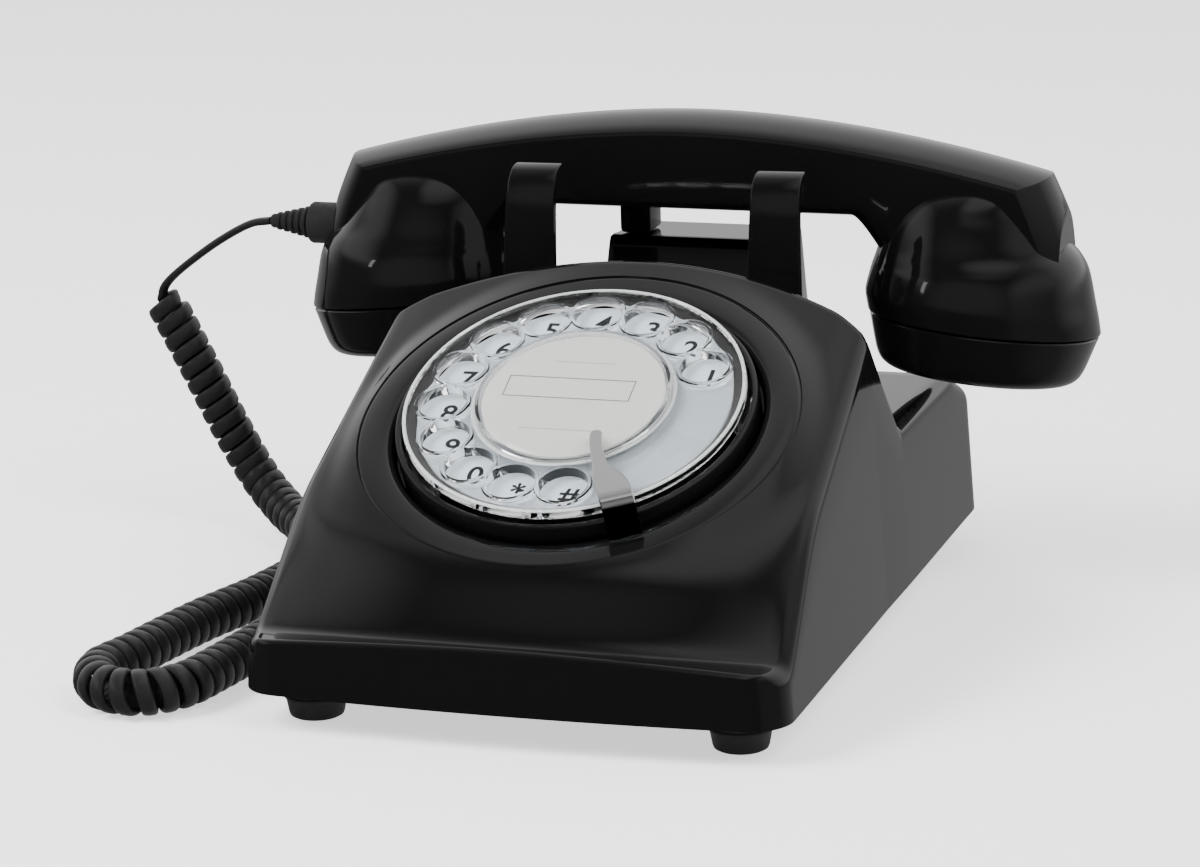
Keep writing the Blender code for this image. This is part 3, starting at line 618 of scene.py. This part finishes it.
def build_case(looks):
    shell = case_shell()
    well = lathe("well", [(0, -40), (SURROUND_R, -40), (SURROUND_R, 20), (0, 20)], dial_place, 180)
    steps = [("DIFFERENCE", inside_body()), ("DIFFERENCE", well)]
    for name, (x, y, z), side in (("side_hole", JACK_SPOT, 5.4), ("back_hole", LINE_SPOT, 6.0)):
        steps.append(("DIFFERENCE", box(name, (x - 6, y - side, z - 5.4), (x + 6, y + side, z + 5.4))))
    carve(shell, *steps)
    dress(shell, looks["gloss_black"], "gloss_black", "base", "housing", sharp=28)
    dress(surround(), looks["gloss_black"], "gloss_black", "base", "housing", sharp=50)
    foot = [(0, 0), (6.6, 0), (7.3, 0.4), (7.6, 1.2), (8.3, 5), (8.7, 5.4), (8.7, 6.0), (8.3, 6.4),
            (9.2, 9.0), (9.2, 10.3), (0, 10.3)]
    for number, (x, y) in enumerate(FOOT_SPOTS, 1):
        dress(lathe(f"rubber_foot_{number}", foot, at(x, y, -TABLE_DROP), 64), looks["soft_rubber"],
              "soft_rubber", "base", f"foot_{number}")
        head = [(0, 0.2), (1.0, 0.2), (2.2, 0.05), (2.8, 0.3), (3.0, 0.9), (3.0, 2.0), (0, 2.0)]
        screw_x = x * SCREW_INSET
        screw = lathe(f"screw_head_{number}", head, at(screw_x, y, BOTTOM_Z - 1.9), 32)
        cross = [("DIFFERENCE", box("cross", (screw_x - a, y - b, 0), (screw_x + a, y + b, BOTTOM_Z - 0.9)))
                 for a, b in ((1.9, 0.35), (0.35, 1.9))]
        dress(carve(screw, *cross), looks["zinc_steel"], "zinc_steel", "base", f"base_screw_{number}")


# ---- Cradle ----------------------------------------------------------------------------------------

HORN_THICK = 3.2
HORN_PATH = ((136.6, 80.0), (137.2, 92.0), (138.2, 104.0), (139.1, 112.0), (140.0, 117.0), (140.9, 119.4),
             (142.2, 121.3), (143.6, 122.7), (145.2, 123.6), (147.2, 124.1), (149.5, 124.3))
REST_X = (16.5, 26.0)
REST_Y = (191.0, 204.0)
REST_Z = 105.6


def build_cradle(looks):
    black = looks["gloss_black"]
    for side, word in ((-1, "left"), (1, "right")):
        rings = []
        for index, (y, z) in enumerate(HORN_PATH):
            before = HORN_PATH[max(index - 1, 0)]
            after = HORN_PATH[min(index + 1, len(HORN_PATH) - 1)]
            run = Vector((after[0] - before[0], after[1] - before[1])).normalized()
            ny = run.y * HORN_THICK
            nz = -run.x * HORN_THICK
            lean = max(0.0, (z - 80) / 44)
            inner = 28.9 + lean * 0.6
            outer = 45.2 - lean * 1.6
            corners = [(inner, y, z), (outer, y, z), (outer, y + ny, z + nz), (inner, y + ny, z + nz)]
            if index == 0:
                corners = [(cx, cy, case_top(cx, cy) + 2.2) for cx, cy, _ in corners]
            rings.append([case(side * cx, cy, cz) for cx, cy, cz in corners])
        dress(soften(loft(f"cradle_horn_{word}", rings), 0.55), black, "gloss_black", "base", f"horn_{word}")
        ends = sorted(side * x for x in REST_X)
        rest = box(f"cradle_rest_{word}", (ends[0], REST_Y[0], SHELF_Z + 0.3), (ends[1], REST_Y[1], REST_Z))
        soften(rest, 1.4, 4)
        spot = at(sum(ends) / 2, sum(REST_Y) / 2, SHELF_Z + 4)
        bore = lathe("bore", [(0, 0), (2.9, 0), (2.9, 20), (0, 20)], spot, 48)
        dress(carve(rest, ("DIFFERENCE", bore)), black, "gloss_black", "base", f"rest_{word}")
        pin = [(0, 0.3), (2.5, 0.3), (2.5, 6.6), (2.3, 7.1), (1.8, 7.5), (0, 7.6)]
        dress(lathe(f"hook_pin_{word}", pin, spot, 40), looks["satin_black"], "satin_black", "hook",
              f"plunger_{word}")


# ---- Dial ------------------------------------------------------------------------------------------

WHEEL_R = 47.6
PLATE_R = 44.2
PLATE_Z = -4.1
PLATE_THICK = 1.4
MARK_SIZE = 9.0
MARK_SHIFT = (1.0, 0.1)
CARD_BOX = ((-19.8, -1.7), (16.2, 6.7))
CARD_LINES = ((-14.8, 11.3), (13.6, 8.5))
PRINT_Z = 0.31
HOLE_R = 6.9
HOLE_CIRCLE_R = 36.7
FIRST_HOLE = math.radians(25.0)
HOLE_STEP = math.radians(23.3)
MARKS = "1234567890*#"
STOP_PATH = (
    (12.0, -18.2, 3.2, 0.9), (12.1, -18.5, 3.2, 1.4), (12.3, -19.0, 3.2, 1.65),
    (12.9, -21.0, 3.2, 1.75), (13.7, -23.6, 3.2, 1.75), (14.6, -26.2, 3.2, 1.75),
    (15.6, -28.7, 3.2, 1.8), (16.6, -30.8, 3.2, 2.0), (17.7, -32.6, 3.2, 2.5),
    (18.8, -34.1, 3.2, 3.1), (20.0, -35.7, 3.2, 3.75), (21.2, -37.4, 3.2, 4.2),
    (22.4, -39.3, 3.2, 4.5), (23.5, -41.3, 3.2, 4.6), (24.5, -43.2, 3.2, 4.6),
    (24.9, -44.0, 3.0, 4.6), (25.2, -44.5, 2.6, 4.6), (25.4, -44.9, 1.9, 4.6),
    (25.6, -45.2, 1.0, 4.6), (26.2, -46.3, -2.0, 4.6), (26.7, -47.2, -4.4, 4.6),
    (27.1, -47.9, -6.0, 4.6),
)
STOP_BEND = 17


def hole_centre(number):
    angle = FIRST_HOLE + number * HOLE_STEP
    return math.cos(angle) * HOLE_CIRCLE_R, math.sin(angle) * HOLE_CIRCLE_R


def shifted(x, y):
    return lambda px, py, pz: dial_place(x + px, y + py, pz)


def stroke(name, x0, y0, x1, y1, width, z):
    """A thin printed line in the dial's mm."""
    run = Vector((x1 - x0, y1 - y0)).normalized() * width / 2
    corners = [(x0 - run.x - run.y, y0 - run.y + run.x), (x0 - run.x + run.y, y0 - run.y - run.x),
               (x1 + run.x + run.y, y1 + run.y - run.x), (x1 + run.x - run.y, y1 + run.y + run.x)]
    return loft(name, [[dial_place(x, y, h) for x, y in corners] for h in (z, z + 0.03)])


def printed(name, text, x, y, size, z):
    """A printed character in the dial's mm, standing upright to the user."""
    data = bpy.data.curves.new(name, "FONT")
    data.body = text
    data.size = size
    data.extrude = 0.02
    data.offset = 0.16
    data.align_x = "CENTER"
    data.align_y = "CENTER"
    holder = bpy.data.objects.new(name, data)
    bpy.context.scene.collection.objects.link(holder)
    graph = bpy.context.evaluated_depsgraph_get()
    made = bpy.data.meshes.new_from_object(holder.evaluated_get(graph))
    bpy.data.objects.remove(holder, do_unlink=True)
    for vertex in made.vertices:
        vertex.co = dial_place(x + vertex.co.x, y + vertex.co.y, z + vertex.co.z)
    mark = bpy.data.objects.new(name, made)
    bpy.context.scene.collection.objects.link(mark)
    return mark


def build_dial(looks):
    clear = looks["clear_acrylic"]
    cup = [(5.5, -20), (5.5, -22), (49.5, -22), (57, -18), (57, -16), (50.3, -16), (50.3, -4.3), (50.1, -3.7),
           (49.6, -3.4), (48.9, -3.4), (48.4, -3.6), (48.2, -4.2), (48.2, -20)]
    dress(lathe("cup_ring", cup, dial_place, 160), looks["gloss_black"], "gloss_black", "base", "dial_cup")
    plate = [(12.5, PLATE_Z - PLATE_THICK), (PLATE_R, PLATE_Z - PLATE_THICK), (PLATE_R, PLATE_Z - 0.3),
             (PLATE_R - 0.3, PLATE_Z), (12.5, PLATE_Z)]
    dress(lathe("printed_plate", plate, dial_place, 160), looks["pale_plate"], "pale_plate", "base",
          "number_plate")
    for number, mark in enumerate(MARKS):
        x, y = hole_centre(number)
        ink = printed(f"mark_{number + 1}", mark, x + MARK_SHIFT[0], y + MARK_SHIFT[1], MARK_SIZE,
                      PLATE_Z + 0.04)
        dress(ink, looks["print_ink"], "pale_plate", "base")
    rim = [(3.4, -3.0), (46.6, -3.0), (47.2, -2.8), (WHEEL_R, -2.2), (WHEEL_R, -0.7), (47.3, -0.2),
           (46.8, 0.0), (46.2, -0.1), (45.6, -0.5), (28.5, -0.5), (3.4, -0.5)]
    wheel = lathe("clear_wheel", rim, dial_place, 160)
    steps = []
    for number in range(len(MARKS)):
        collar = [(0, -2.0), (HOLE_R + 1.1, -2.0), (HOLE_R + 1.1, 0.0), (HOLE_R + 0.8, 0.35), (0, 0.35)]
        steps.append(("UNION", lathe("collar", collar, shifted(*hole_centre(number)), 40)))
    for number in range(len(MARKS)):
        hole = [(0, -5), (HOLE_R, -5), (HOLE_R, 5), (0, 5)]
        steps.append(("DIFFERENCE", lathe("hole", hole, shifted(*hole_centre(number)), 40)))
    dress(carve(wheel, *steps), clear, "clear_acrylic", "dial", "finger_wheel")
    # Pale beads on the wheel's and the cover's rims: painted highlight.
    edges = (("wheel_rim_painted_highlight", "finger_wheel", 46.5, 47.5, 0.06), ("cover_rim_painted_highlight", "card_cover", 27.3, 28.5, -0.1))
    for name, node, low, high, z in edges:
        highlight_bead = [(low, z - 0.4), (high, z - 0.4), (high, z - 0.15), (high - 0.25, z), (low + 0.25, z),
                (low, z - 0.15)]
        dress(lathe(name, highlight_bead, dial_place, 160), looks["painted_highlight_edge"], "clear_acrylic", "dial", node)
    card = [(0, -0.2), (25.4, -0.2), (25.4, 0.3), (0, 0.3)]
    dress(lathe("blank_card", card, dial_place, 96), looks["card_paper"], "card_paper", "dial", "name_card")
    (left, low), (right, high) = CARD_BOX
    lines = ((left, low, right, low), (left, high, right, high), (left, low, left, high),
             (right, low, right, high))
    for number, line in enumerate(lines, 1):
        dress(stroke(f"card_rule_{number}", *line, 0.28, PRINT_Z), looks["print_ink"], "card_paper", "dial")
    for number, (y, reach) in enumerate(CARD_LINES, 1):
        faint = stroke(f"card_line_{number}", -reach, y, reach, y, 0.22, PRINT_Z)
        dress(faint, looks["faint_ink"], "card_paper", "dial")
    cover = [(26.0, -0.2), (27.2, -0.2), (27.2, 0.9), (27.0, 1.7), (26.5, 2.25), (25.6, 2.55), (20, 2.68),
             (0, 2.7), (0, 1.5), (20, 1.48), (25.0, 1.3), (25.8, 0.9), (26.0, 0.3)]
    dress(lathe("domed_cover", cover, dial_place, 128), clear, "clear_acrylic", "dial", "card_cover")
    across = Vector((0.91, 0.41, 0))
    rings = []
    for index, (x, y, z, half) in enumerate(STOP_PATH):
        before = Vector(STOP_PATH[max(index - 1, 0)][:3])
        after = Vector(STOP_PATH[min(index + 1, len(STOP_PATH) - 1)][:3])
        normal = (after - before).normalized().cross(across).normalized()
        centre = Vector((x, y, z))
        edge = min(0.3, half * 0.5)
        outline = [(-half, 0.25), (-half + edge, 0.0), (half - edge, 0.0), (half, 0.25), (half, 0.8),
                   (half - edge, 1.1), (-half + edge, 1.1), (-half, 0.8)]
        rings.append([dial_place(*(centre + across * u + normal * v)) for u, v in outline])
    # The strap past the bend is the same steel strip as the tongue, coloured near-black: a painted dark
    # reflection.
    for name, look, part in (("stop_tongue", "bright_steel", rings[:STOP_BEND + 1]),
                             ("stop_strap", "steel_painted_dark_reflection", rings[STOP_BEND:])):
        dress(loft(name, part), looks[look], "bright_steel", "base", "finger_stop")


# ---- Handset ---------------------------------------------------------------------------------------

HANDSET_Y = 185.4
CUP_X = 87.5
CUP_R = 34.0
CUP_TILT = math.atan(0.1)
CUP_RINGS = ((0.5, 0.06, 34.0), (4.0, 0.6, 33.95), (8.2, 1.2, 33.6), (15.8, 1.3, 31.9), (20.0, 2.0, 30.0),
             (24.0, 3.2, 27.4), (29.4, 3.9, 24.6), (34.0, 4.3, 21.8), (38.7, 3.6, 18.0), (42.0, 3.2, 12.0),
             (43.4, 3.2, 3.0))
END_R = 18.0
SEAM_Z = 74.5
HANDLE_HALF = 15.6
HANDLE_UNDER_Z = 107.0
BOOT_X = -111.6
BOOT_Z = 96.0


def cup_place(side):
    """Metres from a cup's own mm: its axis leans a little outwards and back going up."""
    turn = Matrix.Rotation(side * CUP_TILT, 3, "Y") @ Matrix.Rotation(-CUP_TILT, 3, "X")
    centre = Vector((side * CUP_X, HANDSET_Y, SEAM_Z))
    return lambda x, y, z: case(*(centre + turn @ Vector((x, y, z))))


def smooth_profile(knots):
    """More points on a smooth curve through (radius, height) knots."""
    line, _ = curve_through([(r, z, 0) for r, z in knots])
    return [(max(float(p[0]), 0.0), float(p[1])) for p in line[::6]]


def handle_bar():
    stations = [4.0 * i for i in range(1, 12)] + [46 + 1.0 * i for i in range(22)]
    stations += [70 + 3.0 * i for i in range(15)]
    rings = []
    for x in [-x for x in reversed(stations)] + [0.0] + stations:
        top = 134.5 - 12.0 * (abs(x) / 93.0) ** 1.85
        half = HANDLE_HALF
        outline = []
        for step in range(13):
            y = -half + 4 + (2 * half - 8) * step / 12
            outline.append((y, under_handle(abs(x), y)))
        low = under_handle(abs(x), half)
        outline += [(half - 1.8, low + 0.7), (half - 0.5, low + 2.3), (half, low + 5), (half, top - 5.2)]
        arris = [(half - 0.1, top - 4.6), (half - 0.45, top - 4.0), (half - 1.1, top - 3.55)]
        crests = [(half - 2.2) * (1 - step / 8) for step in range(17)]
        over = [(y, top - 3.9 * (y / half) ** 2) for y in crests]
        outline += arris + over + [(-y, z) for y, z in reversed(arris)]
        outline += [(-half, top - 5.2), (-half, low + 5), (-half + 0.5, low + 2.3), (-half + 1.8, low + 0.7)]
        rings.append([case(x, HANDSET_Y + y, z) for y, z in outline])
    return loft("handset_body", rings)


def under_handle(x, y):
    """Height of the handle's underside, which sweeps down into each cup."""
    reach = x + 5.5 * (1 - (y / HANDLE_HALF) ** 2) - 53.5
    return HANDLE_UNDER_Z - 14.5 * min(max(reach, 0.0) / 11, 1.25) ** 1.3


def slot_body():
    """Bounds the handle's ends: a slot with round ends that draw in upwards."""
    rings = []
    for height in range(-2, 66, 4):
        centre = CUP_X + CUP_R - END_R - 0.142 * height - 0.0039 * height**2
        ring = []
        for step in range(128):
            angle = math.tau * (step + 0.5) / 128
            x = math.copysign(centre, math.cos(angle)) + END_R * math.cos(angle)
            ring.append(case(x, HANDSET_Y + END_R * math.sin(angle), SEAM_Z + height))
        rings.append(ring)
    return loft("slot_body", rings)


def cup_shell(side):
    """The upper, rounded part of a cup, standing on the tilted plane of its seam."""
    line, _ = curve_through(CUP_RINGS)
    levels = [(0.0, 0.0, CUP_R - 0.45), (0.15, 0.0, CUP_R - 0.15)] + [tuple(p) for p in line[::8]]
    rings = []
    for height, shift, radius in levels:
        tilt = math.tan(CUP_TILT) * max(0.0, 1 - height / 20)
        ring = []
        for step in range(120):
            angle = math.tau * (step + 0.5) / 120
            x = radius * math.cos(angle)
            y = radius * math.sin(angle)
            ring.append(case(side * (CUP_X - shift + x), HANDSET_Y + y, SEAM_Z + height - tilt * (x + y)))
        rings.append(ring)
    return loft("cup_shell", rings)


def boot_place(x, y, z):
    """Metres from the strain relief's own mm: it points out of the mouthpiece end."""
    return case(BOOT_X - z, HANDSET_Y + y, BOOT_Z + x)


def build_handset(looks):
    black = looks["gloss_black"]
    steps = [("INTERSECT", slot_body()), ("UNION", cup_shell(-1)), ("UNION", cup_shell(1))]
    sleeve = lathe("sleeve", [(0, 0), (6.7, 0), (6.7, 20), (0, 20)], boot_place, 48)
    steps.append(("DIFFERENCE", sleeve))
    dress(carve(handle_bar(), *steps), black, "gloss_black", "handset", "handle", sharp=24)
    rim = [(0, -16.0), (12, -15.95), (22, -15.8), (25.6, -15.4), (27.8, -14.6), (29.4, -13.2), (30.5, -11.2),
           (31.4, -8.6), (32.4, -5.2), (33.2, -2.4), (33.7, -0.8)]
    for side, word, count in ((-1, "mouth", 6), (1, "ear", 8)):
        place = cup_place(side)
        face = smooth_profile(rim)
        cap = lathe(f"{word}_cover", face + [(33.3, -0.45), (30, -0.45), (30, -3), (24, -11.6), (0, -12.8)],
                    place, 128)
        steps = []
        for ring in range(3):
            for step in range(1 if ring == 0 else count * ring):
                angle = math.tau * step / (count * ring or 1)
                x = 6.0 * ring * math.cos(angle)
                y = 6.0 * ring * math.sin(angle)
                drill = lathe("drill", [(0, -18), (1.1, -18), (1.1, -14.2), (0, -14.2)],
                              lambda px, py, pz, x=x, y=y: place(x + px, y + py, pz), 16)
                steps.append(("DIFFERENCE", drill))
        carve(cap, *steps)
        dress(cap, black, "gloss_black", "handset", f"{word}_cap")
    boot = [(0, 0.3), (6.0, 0.3), (6.4, 0.7), (6.4, 11.0), (6.1, 11.5), (5.2, 11.7)]
    radius = 4.9
    for rib in range(5):
        start = 12.3 + rib * 2.3
        boot += [(radius - 0.5, start), (radius, start + 0.4), (radius - 0.05, start + 1.3)]
        boot += [(radius - 0.6, start + 1.7)]
        radius -= 0.52
    boot += [(2.2, 24.4), (1.9, 25.0), (0, 25.0)]
    dress(lathe("strain_relief", boot, boot_place, 48), looks["soft_rubber"], "soft_rubber", "handset",
          "cord_boot")


def build_plug(looks):
    """The clear plug at the case's side, with its latch and its contacts."""
    _, y, z = JACK_SPOT
    body = soften(box("plug_body", (-92.0, y - 3.3, z - 3.0), (-66.0, y + 3.3, z + 2.2)), 0.5)
    pieces = [dress(body, looks["clear_acrylic"], "clear_acrylic", "base", "cord_plug")]
    latch = soften(box("plug_latch", (-90.0, y - 1.5, z + 2.3), (-67.0, y + 1.5, z + 3.0)), 0.2)
    pieces.append(dress(latch, looks["clear_acrylic"], "clear_acrylic", "base"))
    for number in range(4):
        middle = y - 1.8 + 1.2 * number
        low = (-71.0, middle - 0.2, z - 3.3)
        high = (-67.0, middle + 0.2, z - 3.05)
        blade = box(f"plug_contact_{number + 1}", low, high)
        pieces.append(dress(blade, looks["brass_metal"], "brass_metal", "base"))
    return pieces


# ---- Curly cord ------------------------------------------------------------------------------------

RIBBON_WIDTH = 4.6
RIBBON_THICK = 2.4
RIBBON_SQUARENESS = 0.75
HELIX_R = 5.3
HELIX_PITCH = 5.1
LEAD_ROUTE = (
    (-137.0, 185.4, 96.0),
    (-144.0, 185.4, 94.7),
    (-154.0, 185.4, 89.4),
    (-165.0, 185.4, 81.8),
    (-172.6, 185.4, 75.4),
    (-174.8, 185.4, 71.0),
)
COIL_ROUTE = (
    (-173.0, 185.4, 66.8),
    (-163.0, 185.4, 47.5),
    (-154.0, 186.0, 29.0),
    (-145.0, 186.0, 13.5),
    (-133.0, 178.0, 5.4),
    (-116.0, 158.0, 3.6),
    (-106.0, 128.0, 3.2),
    (-108.5, 98.0, 3.2),
    (-116.0, 68.0, 3.2),
    (-121.5, 35.0, 3.2),
    (-124.4, 19.0, 3.2),
    (-118.0, 6.5, 3.2),
    (-106.0, 3.5, 3.2),
    (-97.0, 12.0, 3.2),
    (-93.5, 28.0, 3.2),
    (-90.6, 52.0, 3.2),
    (-88.4, 80.0, 3.2),
    (-86.6, 98.0, 3.2),
)
TAIL_ROUTE = (
    (-86.6, 108.0, 3.6),
    (-90.0, 120.0, 8.0),
    (-95.0, 131.0, 13.5),
    (-98.0, 139.0, 16.8),
    (-96.0, 143.0, 17.5),
    (-92.4, 143.0, 17.5),
)


def lengths_along(points):
    return np.concatenate([[0], np.cumsum(np.linalg.norm(np.diff(points, axis=0), axis=1))])


def frames_along(points):
    """Tangent, side and up vectors that turn as little as they can along the points."""
    tangents = np.gradient(points, axis=0)
    tangents /= np.linalg.norm(tangents, axis=1)[:, None]
    side = np.cross(tangents[0], (0, 1, 0))
    side /= np.linalg.norm(side)
    sides = []
    for tangent in tangents:
        side = side - tangent * (side @ tangent)
        side /= np.linalg.norm(side)
        sides.append(side)
    sides = np.array(sides)
    return tangents, sides, np.cross(tangents, sides)


def build_cord(looks):
    """Lead, helix and tail as one ribbon-like tube."""
    knots = LEAD_ROUTE + COIL_ROUTE + TAIL_ROUTE
    line, marks = curve_through(knots)
    walked = lengths_along(line)
    coil_start = walked[marks[len(LEAD_ROUTE) - 1]]
    coil_end = walked[marks[len(LEAD_ROUTE) + len(COIL_ROUTE) - 1]]
    turns = round((coil_end - coil_start) / HELIX_PITCH)
    steps_per_turn = 24
    coil_at = np.linspace(coil_start, coil_end, turns * steps_per_turn + 1)
    before = np.linspace(0, coil_start, 40)[:-1]
    after = np.linspace(coil_end, walked[-1], 40)[1:]
    spots = np.concatenate([before, coil_at, after])
    centre = np.stack([np.interp(spots, walked, line[:, k]) for k in range(3)], axis=1)
    tangents, sides, ups = frames_along(centre)
    turn = np.clip((spots - coil_start) / (coil_end - coil_start), 0, 1) * turns * math.tau + math.pi * 0.9
    ease = np.clip(np.minimum(spots - coil_start, coil_end - spots) / (HELIX_PITCH * 0.8), 0, 1)
    ease = ease * ease * (3 - 2 * ease)
    radial = np.cos(turn)[:, None] * sides + np.sin(turn)[:, None] * ups
    path = centre + radial * (HELIX_R * ease)[:, None]
    along = np.gradient(path, axis=0)
    along /= np.linalg.norm(along, axis=1)[:, None]
    flat = tangents - along * np.sum(tangents * along, axis=1)[:, None]
    lean = np.linalg.norm(flat, axis=1)[:, None]
    lead_flat = ups - along * np.sum(ups * along, axis=1)[:, None]
    flat = np.where(lean > 0.3, flat / np.maximum(lean, 1e-6), lead_flat)
    blend = ease[:, None]
    flat = flat * blend + lead_flat * (1 - blend)
    flat /= np.linalg.norm(flat, axis=1)[:, None]
    thin = np.cross(along, flat)
    sides_count = 12
    angles = np.arange(sides_count) * math.tau / sides_count
    ca = np.sign(np.cos(angles)) * np.abs(np.cos(angles)) ** RIBBON_SQUARENESS
    sa = np.sign(np.sin(angles)) * np.abs(np.sin(angles)) ** RIBBON_SQUARENESS
    rings = (path[:, None, :] + flat[:, None, :] * (ca * RIBBON_WIDTH / 2)[None, :, None]
             + thin[:, None, :] * (sa * RIBBON_THICK / 2)[None, :, None])
    points = case_array(rings.reshape(-1, 3))
    faces = tube_faces(len(path), sides_count)
    piece = dress(solid("curly_cord", points, faces), looks["satin_black"], "satin_black", None, sharp=60)
    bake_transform(piece)
    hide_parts("cord_lead", "cord_coil", "cord_tail")


# ---- The whole scene -------------------------------------------------------------------------------


def main():
    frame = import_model()
    looks = build_looks()
    build_stage()
    dress_nodes(frame, looks)
    build_case(looks)
    build_cradle(looks)
    build_dial(looks)
    build_handset(looks)
    plug = build_plug(looks)
    build_cord(looks)


main()
